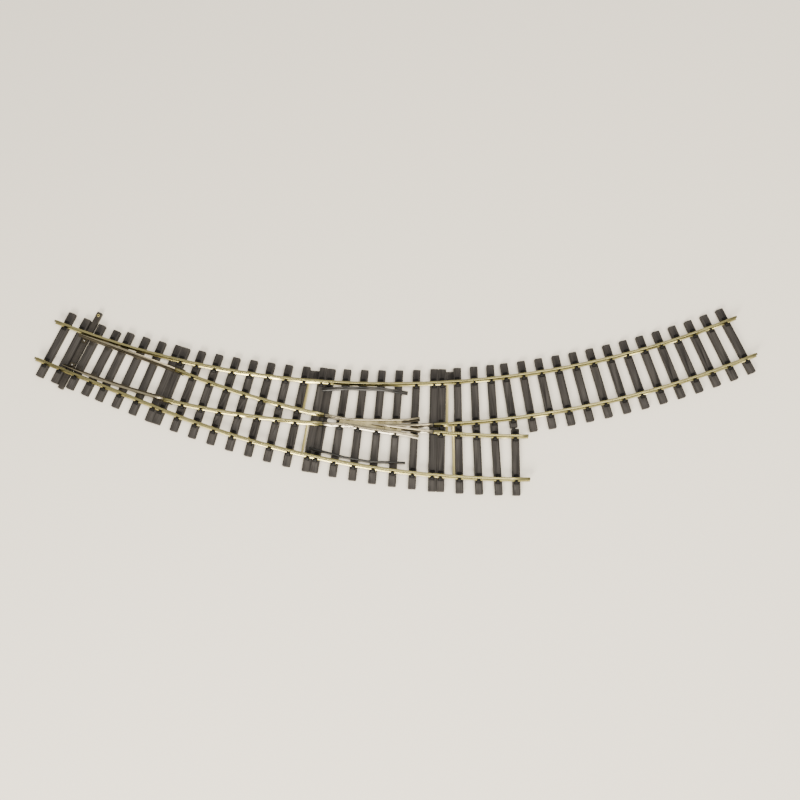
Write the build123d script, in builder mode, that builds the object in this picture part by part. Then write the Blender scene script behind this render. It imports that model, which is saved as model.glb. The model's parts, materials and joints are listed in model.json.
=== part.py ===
"""A left-hand curved turnout for 45 mm gauge model track, as separate pieces.

Two routes share the toe end. The inner route curves left from the toe at once. The outer route
runs straight for a lead length and then curves left on the same radius, so the right rail of the
inner route crosses the left rail of the outer route at a crossing with a vee and two wing rails.
Two pivoted blades, joined by a tie bar, choose the route.

Everything is laid out in the toe plane: x runs along the track from the toe end, y to its left.
That plane is turned so that the ends of the inner route lie on one line along X.
"""

import os
from math import asin, atan2, cos, degrees, hypot, radians, sin, sqrt

from build123d import *

# Track geometry (mm, degrees)
GAUGE = 45.0
HEAD_WIDTH = 2.4
RAIL_SPACING = GAUGE + HEAD_WIDTH
HALF = RAIL_SPACING / 2
RADIUS = 1020.0
LEAD = 156.0
INNER_TURN = 45.0
OUTER_TURN = 22.5
FLANGEWAY = 3.3

# Rail section
RAIL_HEIGHT = 5.1
HEAD_DEPTH = 1.5
WEB = 0.8
FOOT_WIDTH = 4.6
FOOT_EDGE = 0.5
FOOT_ROOT = 0.95
HEAD_ROUND = 0.4

# Sleepers and rail chairs
SLEEPER_WIDTH = 8.5
DOUBLE_WIDTH = 8.8
SLEEPER_HEIGHT = 5.0
SLEEPER_REACH = 40.5
SLEEPER_CORNER = 0.9
SLEEPER_BEVEL = 0.35
PLATE = 0.4
RAIL_BASE = SLEEPER_HEIGHT + PLATE
RAIL_TOP = RAIL_BASE + RAIL_HEIGHT
FOOT_HALF = FOOT_WIDTH / 2
CHAIR_LENGTH = 5.2
CHAIR_HALF = 5.4
SHOULDER_LENGTH = 4.4
SHOULDER_GAP = 0.1
SHOULDER_HEIGHT = 1.4
SHOULDER_CORNER = 0.4
CLIP_LENGTH, CLIP_WIDTH, CLIP_OFFSET = 2.4, 1.9, 2.2
CLIP_BOTTOM = RAIL_BASE + 0.85
CLIP_HEIGHT = 0.6

# Sleeper stations along each route's centreline: (inner route, outer route)
TOE_STATIONS = [12.0, 30.8, 49.6, 68.4]
SWITCH_STATIONS = [(87.3, 85.6), (107.1, 105.9), (127.0, 126.9)]
FIRST_DOUBLE = (151.6, 151.8)
CLOSURE_START, CLOSURE_PITCH, CLOSURE_COUNT = (175.3, 176.5), (20.62, 20.93), 7
SECOND_DOUBLE = (323.4, 327.4)
CROSSING_START, CROSSING_PITCH, CROSSING_COUNT = (346.1, 351.6), (19.93, 20.8), 5
THIRD_DOUBLE = (450.6, 459.8)
JUNCTION_START, JUNCTION_PITCH, JUNCTION_COUNT = (472.4, 484.1), (19.05, 20.15), 3
SPLIT_STATION = (526.2, 542.5)
SPLIT_INNER_REACH, SPLIT_OUTER_REACH = 33.2, 32.6
EXIT_START, EXIT_PITCH, EXIT_COUNT = 546.3, 20.225, 13

# Low blocks that tie neighbouring sleepers together, and the neck between the split sleepers
BLOCK_OUT, BLOCK_WIDTH, BLOCK_TOP, BLOCK_LAP = 32.0, 9.0, 4.4, 0.3
NECK_OUT, NECK_LENGTH, NECK_WIDTH = 34.2, 2.6, 5.0

# Switch
HEEL_STATION = 150.0
HEEL_GAP = 0.4
PIVOT_STATION = 146.5
TIP_STATION = 31.5
THROW = 5.0
TIE_STATION = 40.2
TIE_WIDTH = 6.0
TIE_BOTTOM, TIE_TOP = 1.0, 4.8
TIE_RIGHT, TIE_LEFT = -44.0, 52.8
DRIVE_HOLE_OFFSET, DRIVE_HOLE_RADIUS = 49.0, 1.1
BLADE_FLOAT = 0.05
BLADE_FOOT = 3.3
BLADE_FOOT_TOP = RAIL_BASE + 1.7
BLADE_CLEARANCE = 0.12
STOCK_FOOT_CLEARANCE = 0.35
LUG_OFFSET = 4.7
LUG_LENGTH = 5.0
LUG_TOP = RAIL_BASE + 1.3
LINK_PIN_RADIUS, LINK_SLOT_RADIUS, LINK_SLOT_TRAVEL = 0.6, 0.66, 0.5
HEEL_PIN_RADIUS, HEEL_HOLE_RADIUS, HEEL_PIN_TOP = 0.7, 0.75, RAIL_BASE + 2.2
HEEL_PIN_CHAMFER = 0.15
HEEL_HOLE_DEPTH = HEEL_PIN_TOP - RAIL_BASE + 0.2
HEEL_PLATE_LENGTH, HEEL_PLATE_CORNER, HEEL_PLATE_START = 17.0, 0.8, 2.8
HEEL_LUG_LENGTH, HEEL_LUG_WIDTH = 4.4, 1.1
FOOT_PLAY = 0.1
SLIDE_LENGTH, SLIDE_WIDTH, SLIDE_GAP = 5.0, 9.0, 0.05
UNDERCUT = FOOT_ROOT + 0.15
CUT_LAP = 1.0
TIE_CORNER = 1.2
LINK_PIN_STAND = 0.3

# Crossing
JOINT_STATION_LEFT = (324.0, 328.6)
JOINT_STATION_RIGHT = (441.3, 451.2)
JOINT_GAP = 0.9
NOSE_BLUNT = 3.2
WING_OFFSET = HALF - HEAD_WIDTH - FLANGEWAY
WING_FLARE_STATION = (412.0, 421.0)
WING_END_STATION = (427.2, 435.9)
WING_END_OFFSET = WING_OFFSET - 1.7
BEND_LAP = 0.3
FILLER_STATIONS_INNER, FILLER_STATIONS_OUTER = (392.6, 405.0), (400.2, 413.0)
FILLER_LENGTH = 5.0
FILLER_BOTTOM, FILLER_TOP = RAIL_BASE + 1.0, RAIL_BASE + 2.9
FLOOR_THICK, FLOOR_STOP = 0.5, 404.0
THROAT_START, THROAT_STOP, THROAT_TOP = 341.6, 381.2, RAIL_BASE + 2.3
THROAT_GAP = 0.12
FLOOR_EDGE = 0.05

# Check rails: station and offset of each bend, from the blade side to the crossing's far side
CHECK_INNER = [(319.4, 14.9), (345.0, 18.5), (365.0, 18.5), (385.0, 18.5), (415.0, 13.4)]
CHECK_OUTER = [(321.7, -16.1), (360.0, -18.5), (374.0, -18.5), (388.0, -18.5), (424.9, -14.4)]
CHECK_WIDTH, CHECK_ROUND = 1.6, 0.5
CHECK_FOOT_WIDTH, CHECK_FOOT_HEIGHT = 2.2, 0.6
CHECK_HEIGHT = RAIL_TOP - SLEEPER_HEIGHT

# Jumper strips
STRIP_WIDTH, STRIP_THICK = 2.7, 0.4
STRIP_TOP = SLEEPER_HEIGHT
STRIP_SHIFT, STRIP_SHIFT_WIDE = 1.7, 2.6
TAB_LENGTH = 3.0

# Insulating joiners
JOINER_LENGTH, JOINER_WALL, JOINER_HEIGHT = 9.0, 0.55, 1.1

INNER, OUTER = "inner", "outer"
LEADS = {INNER: 0.0, OUTER: LEAD}
INNER_LENGTH = RADIUS * radians(INNER_TURN)
OUTER_LENGTH = LEAD + RADIUS * radians(OUTER_TURN)

# The toe plane, placed so that the whole turnout's box is centred on the origin
TOE_HEADING = -INNER_TURN / 2
TOE_X = -RADIUS * sin(radians(INNER_TURN / 2))
TOP_EDGE = SLEEPER_REACH * cos(radians(TOE_HEADING)) + (
    (TOE_STATIONS[0] - SLEEPER_WIDTH / 2 + SLEEPER_CORNER / 3) * sin(radians(TOE_HEADING))
)
SPLIT_TURN = (SPLIT_STATION[1] - LEAD) / RADIUS
BOTTOM_EDGE = (
    (LEAD + (RADIUS + SLEEPER_REACH) * sin(SPLIT_TURN)) * sin(radians(TOE_HEADING))
    + (RADIUS - (RADIUS + SLEEPER_REACH) * cos(SPLIT_TURN)) * cos(radians(TOE_HEADING))
)
TOE_Y = -(TOP_EDGE + BOTTOM_EDGE) / 2
toe = Plane(
    origin=(TOE_X, TOE_Y, 0),
    x_dir=(cos(radians(TOE_HEADING)), sin(radians(TOE_HEADING)), 0),
    z_dir=(0, 0, 1),
)


def along(route, station, offset=0.0):
    """Point and heading in the toe plane, offset mm to the left of a route's centreline."""
    lead = LEADS[route]
    if station <= lead:
        return station, offset, 0.0
    turn = (station - lead) / RADIUS
    reach = RADIUS - offset
    return lead + reach * sin(turn), RADIUS - reach * cos(turn), degrees(turn)


def spot(x, y, heading=0.0):
    """Location in the toe plane, for what a sketch repeats."""
    return Location((x, y, 0), (0, 0, heading))


def across(x, y, heading, height=RAIL_BASE):
    """Plane square to the track: its x points to the left, its y up and its z along the track."""
    turned = radians(TOE_HEADING + heading)
    return Plane(
        origin=toe.from_local_coords((x, y, height)),
        x_dir=(-sin(turned), cos(turned), 0),
        z_dir=(cos(turned), sin(turned), 0),
    )


def curve_axis(route):
    """Vertical axis through the centre of a route's curve."""
    return Axis(toe.from_local_coords((LEADS[route], RADIUS, 0)), (0, 0, 1))


# Flat-bottomed rail section, centred on its y axis and standing on its x axis
with BuildSketch() as rail_section:
    with BuildLine():
        Polyline(
            (0, 0),
            (FOOT_HALF, 0),
            (FOOT_HALF, FOOT_EDGE),
            (WEB / 2, FOOT_ROOT),
            (WEB / 2, RAIL_HEIGHT - HEAD_DEPTH),
            (HEAD_WIDTH / 2, RAIL_HEIGHT - HEAD_DEPTH + 0.25),
            (HEAD_WIDTH / 2, RAIL_HEIGHT - HEAD_ROUND),
        )
        RadiusArc(
            (HEAD_WIDTH / 2, RAIL_HEIGHT - HEAD_ROUND),
            (HEAD_WIDTH / 2 - HEAD_ROUND, RAIL_HEIGHT),
            -HEAD_ROUND,
        )
        Line((HEAD_WIDTH / 2 - HEAD_ROUND, RAIL_HEIGHT), (0, RAIL_HEIGHT))
        mirror(about=Plane.YZ)
    make_face()


def rail_piece(route, offset, start, stop):
    """Length of running rail that follows a route, from one station to another."""
    lead = LEADS[route]
    with BuildPart() as rail:
        if start < lead:
            with BuildSketch(across(*along(route, start, offset))):
                add(rail_section.sketch)
            extrude(amount=min(stop, lead) - start)
        if stop > lead:
            first = max(start, lead)
            with BuildSketch(across(*along(route, first, offset))):
                add(rail_section.sketch)
            revolve(axis=curve_axis(route), revolution_arc=degrees((stop - first) / RADIUS))
    return rail


def meeting(head, tail, route, offset):
    """Where a sleeper's centreline, from head to tail, passes under a rail: point and heading."""
    length = hypot(tail[0] - head[0], tail[1] - head[1])
    step_x, step_y = (tail[0] - head[0]) / length, (tail[1] - head[1]) / length
    lead = LEADS[route]
    level = (offset - head[1]) / step_y
    if head[0] + level * step_x <= lead:
        return head[0] + level * step_x, offset, 0.0
    to_x, to_y = head[0] - lead, head[1] - RADIUS
    half = to_x * step_x + to_y * step_y
    travel = -half + sqrt(half**2 - (to_x**2 + to_y**2 - (RADIUS - offset) ** 2))
    x, y = head[0] + travel * step_x, head[1] + travel * step_y
    return x, y, degrees(asin((x - lead) / (RADIUS - offset)))


def beam(head, tail, shift=0.0, width=SLEEPER_WIDTH):
    """A sleeper: its two end points in the toe plane, moved shift mm along the track."""
    length = hypot(tail[0] - head[0], tail[1] - head[1])
    move_x, move_y = (head[1] - tail[1]) / length * shift, (tail[0] - head[0]) / length * shift
    return (
        (head[0] + move_x, head[1] + move_y),
        (tail[0] + move_x, tail[1] + move_y),
        width,
    )


def common_beam(stations, shift=0.0, width=SLEEPER_WIDTH):
    """A sleeper under both routes, from left of the inner route to right of the outer route."""
    head = along(INNER, stations[0], SLEEPER_REACH)[:2]
    tail = along(OUTER, stations[1], -SLEEPER_REACH)[:2]
    return beam(head, tail, shift, width)


def run_of(start, pitch, count):
    """Station pairs of a row of common sleepers."""
    return [(start[0] + n * pitch[0], start[1] + n * pitch[1]) for n in range(count)]


def chairs(sleeper, rails):
    """Chair places (x, y, heading, sides) where the given rails cross a sleeper."""
    return [(*meeting(sleeper[0], sleeper[1], route, offset), sides) for route, offset, sides in rails]


def sleeper_module(beams, seats, extra=()):
    """Moulded sleepers with the chairs that hold the rails, all in one plastic.

    A seat's sides are +1 for a shoulder on the left of the rail, -1 for the right, 0 for both.
    Each extra is a block: (x, y, heading, length, width, bottom, top).
    """
    with BuildPart() as module:
        with BuildSketch(toe):
            for head, tail, width in beams:
                middle = ((head[0] + tail[0]) / 2, (head[1] + tail[1]) / 2)
                length = hypot(tail[0] - head[0], tail[1] - head[1])
                heading = degrees(asin((tail[0] - head[0]) / length))
                with Locations(spot(*middle, heading)):
                    RectangleRounded(width, length, SLEEPER_CORNER)
        extrude(amount=SLEEPER_HEIGHT)
        chamfer(module.faces().sort_by(Axis.Z).group_by(Axis.Z)[-1].edges(), SLEEPER_BEVEL)
        with BuildSketch(toe.offset(SLEEPER_HEIGHT)):
            for x, y, heading, sides in seats:
                shift = sides * (CHAIR_HALF - FOOT_HALF) / 2
                width = 2 * CHAIR_HALF if sides == 0 else CHAIR_HALF + FOOT_HALF
                with Locations(spot(x, y, heading) * Location((0, shift, 0))):
                    Rectangle(CHAIR_LENGTH, width)
        extrude(amount=PLATE)
        with BuildSketch(toe.offset(SLEEPER_HEIGHT)):
            for x, y, heading, sides in seats:
                for side in (sides,) if sides else (1, -1):
                    middle = side * (CHAIR_HALF + FOOT_HALF + SHOULDER_GAP) / 2
                    with Locations(spot(x, y, heading) * Location((0, middle, 0))):
                        RectangleRounded(
                            SHOULDER_LENGTH, CHAIR_HALF - FOOT_HALF - SHOULDER_GAP, SHOULDER_CORNER
                        )
        extrude(amount=PLATE + SHOULDER_HEIGHT)
        with BuildSketch(toe.offset(CLIP_BOTTOM)):
            for x, y, heading, sides in seats:
                for side in (sides,) if sides else (1, -1):
                    with Locations(spot(x, y, heading) * Location((0, side * CLIP_OFFSET, 0))):
                        Rectangle(CLIP_LENGTH, CLIP_WIDTH)
        extrude(amount=CLIP_HEIGHT)
        for x, y, heading, length, width, bottom, top in extra:
            with BuildSketch(toe.offset(bottom)):
                with Locations(spot(x, y, heading)):
                    Rectangle(length, width)
            extrude(amount=top - bottom)
    return module


pieces = {}

# Which rails cross each group of sleepers, with the side that has room for a chair's shoulder
STOCK_OUTSIDE = [(INNER, HALF, 1), (OUTER, -HALF, -1)]
STOCK = [(INNER, HALF, 0), (OUTER, -HALF, 0)]
CLOSURE = STOCK + [(OUTER, HALF, 0), (INNER, -HALF, 0)]
APPROACHES = STOCK_OUTSIDE + [(OUTER, HALF, 1), (INNER, -HALF, -1)]
WINGS = STOCK_OUTSIDE + [(INNER, -WING_OFFSET, 1), (OUTER, WING_OFFSET, -1)]

# Switch module: the toe's own sleepers lie square to the track
toe_beams = [beam((x, SLEEPER_REACH), (x, -SLEEPER_REACH)) for x in TOE_STATIONS]
switch_beams = toe_beams + [common_beam(stations) for stations in SWITCH_STATIONS]
first_half = common_beam(FIRST_DOUBLE, -DOUBLE_WIDTH / 2, DOUBLE_WIDTH)
switch_seats = chairs(switch_beams[0], STOCK)
for sleeper in switch_beams[1:] + [first_half]:
    switch_seats += chairs(sleeper, STOCK_OUTSIDE)
pieces["switch_sleepers"] = sleeper_module(switch_beams + [first_half], switch_seats)

# Closure module, with the low block beside its last sleeper
closure_beams = [
    common_beam(s) for s in run_of(CLOSURE_START, CLOSURE_PITCH, CLOSURE_COUNT)
]
second_half = common_beam(FIRST_DOUBLE, DOUBLE_WIDTH / 2, DOUBLE_WIDTH)
third_half = common_beam(SECOND_DOUBLE, -DOUBLE_WIDTH / 2, DOUBLE_WIDTH)
closure_seats = chairs(second_half, STOCK) + chairs(third_half, STOCK)
for sleeper in closure_beams:
    closure_seats += chairs(sleeper, CLOSURE)
LAST_CLOSURE = CLOSURE_START[0] + (CLOSURE_COUNT - 1) * CLOSURE_PITCH[0]
first_gap = (LAST_CLOSURE + SLEEPER_WIDTH / 2, SECOND_DOUBLE[0] - DOUBLE_WIDTH)
first_block = along(INNER, sum(first_gap) / 2, BLOCK_OUT)
pieces["closure_sleepers"] = sleeper_module(
    [second_half] + closure_beams + [third_half],
    closure_seats,
    [(*first_block, first_gap[1] - first_gap[0] + 2 * BLOCK_LAP, BLOCK_WIDTH, 0, BLOCK_TOP)],
)

# Crossing module
crossing_beams = [
    common_beam(s) for s in run_of(CROSSING_START, CROSSING_PITCH, CROSSING_COUNT)
]
fourth_half = common_beam(SECOND_DOUBLE, DOUBLE_WIDTH / 2, DOUBLE_WIDTH)
fifth_half = common_beam(THIRD_DOUBLE, -DOUBLE_WIDTH / 2, DOUBLE_WIDTH)
crossing_seats = chairs(fourth_half, STOCK) + chairs(fifth_half, STOCK)
crossing_seats += chairs(crossing_beams[0], APPROACHES)
for sleeper in crossing_beams[1:-1]:
    crossing_seats += chairs(sleeper, WINGS)
crossing_seats += chairs(crossing_beams[-1], STOCK)
crossing_rests = []
for sleeper in crossing_beams:
    upper = meeting(*sleeper[:2], INNER, -WING_OFFSET)
    lower = meeting(*sleeper[:2], OUTER, WING_OFFSET)
    middle = ((upper[0] + lower[0]) / 2, (upper[1] + lower[1]) / 2, (upper[2] + lower[2]) / 2)
    reach = hypot(upper[0] - lower[0], upper[1] - lower[1]) + FOOT_WIDTH
    crossing_rests.append((*middle, CHAIR_LENGTH, reach, SLEEPER_HEIGHT, RAIL_BASE))
pieces["crossing_sleepers"] = sleeper_module(
    [fourth_half] + crossing_beams + [fifth_half], crossing_seats, crossing_rests
)

# Junction module, up to the last sleeper that the two routes share
junction_beams = [
    common_beam(s) for s in run_of(JUNCTION_START, JUNCTION_PITCH, JUNCTION_COUNT)
]
sixth_half = common_beam(THIRD_DOUBLE, DOUBLE_WIDTH / 2, DOUBLE_WIDTH)
junction_seats = chairs(sixth_half, CLOSURE)
for sleeper in junction_beams:
    junction_seats += chairs(sleeper, CLOSURE)
inner_part = beam(
    along(INNER, SPLIT_STATION[0], SLEEPER_REACH)[:2],
    along(INNER, SPLIT_STATION[0], -SPLIT_INNER_REACH)[:2],
)
outer_part = beam(
    along(OUTER, SPLIT_STATION[1], SPLIT_OUTER_REACH)[:2],
    along(OUTER, SPLIT_STATION[1], -SLEEPER_REACH)[:2],
)
junction_seats += chairs(inner_part, [(INNER, HALF, 0), (INNER, -HALF, 0)])
junction_seats += chairs(outer_part, [(OUTER, HALF, 0), (OUTER, -HALF, 0)])
second_gap = (THIRD_DOUBLE[0] + DOUBLE_WIDTH, JUNCTION_START[0] - SLEEPER_WIDTH / 2)
second_block = along(INNER, sum(second_gap) / 2, BLOCK_OUT)
neck = along(INNER, SPLIT_STATION[0], -NECK_OUT)
pieces["junction_sleepers"] = sleeper_module(
    [sixth_half] + junction_beams + [inner_part, outer_part],
    junction_seats,
    [
        (*second_block, second_gap[1] - second_gap[0] + 2 * BLOCK_LAP, BLOCK_WIDTH, 0, BLOCK_TOP),
        (*neck, NECK_LENGTH, NECK_WIDTH, 0, BLOCK_TOP),
    ],
)

# Exit module of the inner route
exit_beams = [
    beam(along(INNER, s, SLEEPER_REACH)[:2], along(INNER, s, -SLEEPER_REACH)[:2])
    for s in [EXIT_START + n * EXIT_PITCH for n in range(EXIT_COUNT)]
]
exit_seats = []
for sleeper in exit_beams:
    exit_seats += chairs(sleeper, [(INNER, HALF, 0), (INNER, -HALF, 0)])
pieces["exit_sleepers"] = sleeper_module(exit_beams, exit_seats)

# Running rails
HALF_JOINT = JOINT_GAP / 2
pieces["stock_rail_inner"] = rail_piece(INNER, HALF, 0, INNER_LENGTH)
pieces["stock_rail_outer"] = rail_piece(OUTER, -HALF, 0, OUTER_LENGTH)
pieces["closure_rail_outer"] = rail_piece(
    OUTER, HALF, HEEL_STATION + HEEL_GAP, JOINT_STATION_LEFT[1] - HALF_JOINT
)
pieces["closure_rail_inner"] = rail_piece(
    INNER, -HALF, HEEL_STATION + HEEL_GAP, JOINT_STATION_LEFT[0] - HALF_JOINT
)
pieces["exit_rail_inner"] = rail_piece(
    INNER, -HALF, JOINT_STATION_RIGHT[0] + HALF_JOINT, INNER_LENGTH
)
pieces["exit_rail_outer"] = rail_piece(
    OUTER, HALF, JOINT_STATION_RIGHT[1] + HALF_JOINT, OUTER_LENGTH
)


# Blades. Each is drawn closed against its stock rail, in the toe plane turned about the heel pivot
# to the middle of the throw. A bar of the rail head's width carries a thick foot on its gauge side,
# and is planed on the other side where it lies against the stock rail's head and over its foot.
HALF_THROW_ANGLE = degrees(asin(THROW / 2 / (PIVOT_STATION - TIE_STATION)))


def pivoted(pivot, angle):
    """The toe plane turned about a heel pivot."""
    x, y = pivot
    return Plane(toe.location * Location((x, y, 0), (0, 0, angle)) * Location((-x, -y, 0)))


def blade_section(side):
    """Section of a blade whose gauge side is to the left (side 1) or to the right (side -1)."""
    with BuildSketch() as section:
        with Locations((0, (RAIL_HEIGHT + BLADE_FLOAT) / 2)):
            RectangleRounded(HEAD_WIDTH, RAIL_HEIGHT - BLADE_FLOAT, HEAD_ROUND)
        foot_height = BLADE_FOOT_TOP - RAIL_BASE - BLADE_FLOAT
        with Locations((side * BLADE_FOOT / 2, BLADE_FLOAT + foot_height / 2)):
            Rectangle(BLADE_FOOT, foot_height)
    return section.sketch


left_pivot = (PIVOT_STATION, HALF)
left_link = (TIE_STATION, HALF - BLADE_FOOT - LUG_OFFSET / 2)
left_plane = pivoted(left_pivot, HALF_THROW_ANGLE)
left_start = left_plane.from_local_coords((TIP_STATION, HALF, RAIL_BASE))
with BuildPart() as blade_left:
    with BuildSketch(Plane(origin=left_start, x_dir=left_plane.y_dir, z_dir=left_plane.x_dir)):
        add(blade_section(-1))
    extrude(amount=HEEL_STATION - TIP_STATION)
    with BuildSketch(left_plane.offset(RAIL_BASE + BLADE_FLOAT)):
        with Locations(left_link):
            Rectangle(LUG_LENGTH, LUG_OFFSET)
    extrude(amount=LUG_TOP - RAIL_BASE)
    with BuildSketch(left_plane.offset(RAIL_BASE)):
        with Locations((0, RADIUS)):
            Circle(RADIUS - HALF + HEAD_WIDTH / 2 + BLADE_CLEARANCE)
    extrude(amount=RAIL_HEIGHT + CUT_LAP, mode=Mode.SUBTRACT)
    with BuildSketch(left_plane.offset(RAIL_BASE)):
        with Locations((0, RADIUS)):
            Circle(RADIUS - HALF + FOOT_HALF + STOCK_FOOT_CLEARANCE)
    extrude(amount=UNDERCUT, mode=Mode.SUBTRACT)
    with BuildSketch(left_plane.offset(RAIL_BASE)):
        with Locations(left_link):
            SlotCenterToCenter(LINK_SLOT_TRAVEL, 2 * LINK_SLOT_RADIUS)
    extrude(amount=RAIL_HEIGHT, mode=Mode.SUBTRACT)
    with BuildSketch(left_plane.offset(RAIL_BASE)):
        with Locations(left_pivot):
            Circle(HEEL_HOLE_RADIUS)
    extrude(amount=HEEL_HOLE_DEPTH, mode=Mode.SUBTRACT)
pieces["blade_left"] = blade_left

# The right blade follows the inner route's curve, and its back is planed straight
right_pivot = along(INNER, PIVOT_STATION, -HALF)[:2]
tip_x, tip_y, tip_heading = along(INNER, TIP_STATION, -HALF)
link_x, link_y, link_heading = along(INNER, TIE_STATION, -HALF + BLADE_FOOT + LUG_OFFSET / 2)
right_plane = pivoted(right_pivot, -HALF_THROW_ANGLE)
right_start = right_plane.location * Location((tip_x, tip_y, RAIL_BASE), (0, 0, tip_heading))
right_square = Plane(right_start)
right_centre = right_plane.from_local_coords((0, RADIUS, 0))
with BuildPart() as blade_right:
    with BuildSketch(
        Plane(origin=right_square.origin, x_dir=right_square.y_dir, z_dir=right_square.x_dir)
    ):
        add(blade_section(1))
    revolve(
        axis=Axis(right_centre, (0, 0, 1)),
        revolution_arc=degrees((HEEL_STATION - TIP_STATION) / RADIUS),
    )
    with BuildSketch(right_plane.offset(RAIL_BASE + BLADE_FLOAT)):
        with Locations(spot(link_x, link_y, link_heading)):
            Rectangle(LUG_LENGTH, LUG_OFFSET)
    extrude(amount=LUG_TOP - RAIL_BASE)
    with BuildSketch(right_plane.offset(RAIL_BASE)):
        with Locations((LEAD / 2, -HALF + HEAD_WIDTH / 2 + BLADE_CLEARANCE)):
            Rectangle(LEAD, HALF, align=(Align.CENTER, Align.MAX))
    extrude(amount=RAIL_HEIGHT + CUT_LAP, mode=Mode.SUBTRACT)
    with BuildSketch(right_plane.offset(RAIL_BASE)):
        with Locations((LEAD / 2, -HALF + FOOT_HALF + STOCK_FOOT_CLEARANCE)):
            Rectangle(LEAD, HALF, align=(Align.CENTER, Align.MAX))
    extrude(amount=UNDERCUT, mode=Mode.SUBTRACT)
    with BuildSketch(right_plane.offset(RAIL_BASE)):
        with Locations(spot(link_x, link_y, link_heading)):
            SlotCenterToCenter(LINK_SLOT_TRAVEL, 2 * LINK_SLOT_RADIUS)
    extrude(amount=RAIL_HEIGHT, mode=Mode.SUBTRACT)
    with BuildSketch(right_plane.offset(RAIL_BASE)):
        with Locations(right_pivot):
            Circle(HEEL_HOLE_RADIUS)
    extrude(amount=HEEL_HOLE_DEPTH, mode=Mode.SUBTRACT)
pieces["blade_right"] = blade_right

# Heel plates, with a lug each side of the closure rail's foot, and the pins that they hold
HEEL_LUG_OFFSET = FOOT_HALF + FOOT_PLAY + HEEL_LUG_WIDTH / 2
for side, route, offset in (("left", OUTER, HALF), ("right", INNER, -HALF)):
    plate_spot = along(route, PIVOT_STATION + HEEL_PLATE_LENGTH / 2 - HEEL_PLATE_START, offset)
    pin_spot = along(route, PIVOT_STATION, offset)
    with BuildPart() as heel_plate:
        with BuildSketch(toe.offset(SLEEPER_HEIGHT)):
            with Locations(spot(*plate_spot)):
                RectangleRounded(
                    HEEL_PLATE_LENGTH, 2 * HEEL_LUG_OFFSET + HEEL_LUG_WIDTH, HEEL_PLATE_CORNER
                )
            with Locations(spot(*pin_spot)):
                Circle(HEEL_PIN_RADIUS, mode=Mode.SUBTRACT)
        extrude(amount=PLATE)
        with BuildSketch(toe.offset(SLEEPER_HEIGHT)):
            with Locations(spot(*plate_spot)):
                with Locations(
                    (HEEL_PLATE_LENGTH / 4, HEEL_LUG_OFFSET),
                    (HEEL_PLATE_LENGTH / 4, -HEEL_LUG_OFFSET),
                ):
                    Rectangle(HEEL_LUG_LENGTH, HEEL_LUG_WIDTH)
        extrude(amount=PLATE + SHOULDER_HEIGHT)
    pieces[f"heel_plate_{side}"] = heel_plate
    with BuildPart() as heel_pin:
        with BuildSketch(toe.offset(SLEEPER_HEIGHT)):
            with Locations(spot(*pin_spot)):
                Circle(HEEL_PIN_RADIUS)
        extrude(amount=HEEL_PIN_TOP - SLEEPER_HEIGHT)
        chamfer(heel_pin.edges().group_by(Axis.Z)[-1], HEEL_PIN_CHAMFER)
    pieces[f"heel_pin_{side}"] = heel_pin

# Slide plates under the blades, one a side on each switch sleeper past the tie bar
with BuildPart() as slide_plates:
    with BuildSketch(toe.offset(SLEEPER_HEIGHT)):
        for sleeper in switch_beams[2:]:
            for route, offset, side in ((INNER, HALF, -1), (OUTER, -HALF, 1)):
                x, y, heading = meeting(sleeper[0], sleeper[1], route, offset)
                with Locations(spot(x, y + side * (FOOT_HALF + SLIDE_GAP + SLIDE_WIDTH / 2), heading)):
                    Rectangle(SLIDE_LENGTH, SLIDE_WIDTH)
    extrude(amount=PLATE)
pieces["slide_plates"] = slide_plates

# Tie bar, with the two link pins that turn in the blades' lugs
rest_links = [
    toe.to_local_coords(left_plane.from_local_coords((*left_link, 0))),
    toe.to_local_coords(right_plane.from_local_coords((link_x, link_y, 0))),
]
with BuildPart() as tie_bar:
    with BuildSketch(toe.offset(TIE_BOTTOM)):
        with Locations((TIE_STATION, (TIE_LEFT + TIE_RIGHT) / 2)):
            RectangleRounded(TIE_WIDTH, TIE_LEFT - TIE_RIGHT, TIE_CORNER)
        with Locations((TIE_STATION, DRIVE_HOLE_OFFSET)):
            Circle(DRIVE_HOLE_RADIUS, mode=Mode.SUBTRACT)
        with Locations(*[(link.X, link.Y) for link in rest_links]):
            Circle(LINK_PIN_RADIUS, mode=Mode.SUBTRACT)
    extrude(amount=TIE_TOP - TIE_BOTTOM)
pieces["tie_bar"] = tie_bar

with BuildPart() as link_pins:
    with BuildSketch(toe.offset(TIE_BOTTOM)):
        with Locations(*[(link.X, link.Y) for link in rest_links]):
            Circle(LINK_PIN_RADIUS)
    extrude(amount=LUG_TOP + LINK_PIN_STAND - TIE_BOTTOM)
pieces["link_pins"] = link_pins


# Crossing: the vee is a solid nose with two legs. The gauge faces of the two rails meet at the
# theoretical nose, which is cut blunt, and the legs start where the rails' centrelines cross.
def rails_cross(inner_offset, outer_offset):
    """Where a rail of the inner route crosses one of the outer route, in the toe plane."""
    inner_reach, outer_reach = RADIUS - inner_offset, RADIUS - outer_offset
    x = (inner_reach**2 - outer_reach**2 + LEAD**2) / (2 * LEAD)
    return x, RADIUS - sqrt(inner_reach**2 - x**2)


def station_at(route, x, offset):
    """Station on a route of the point of an offset line at a given x."""
    return LEADS[route] + RADIUS * asin((x - LEADS[route]) / (RADIUS - offset))


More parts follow.
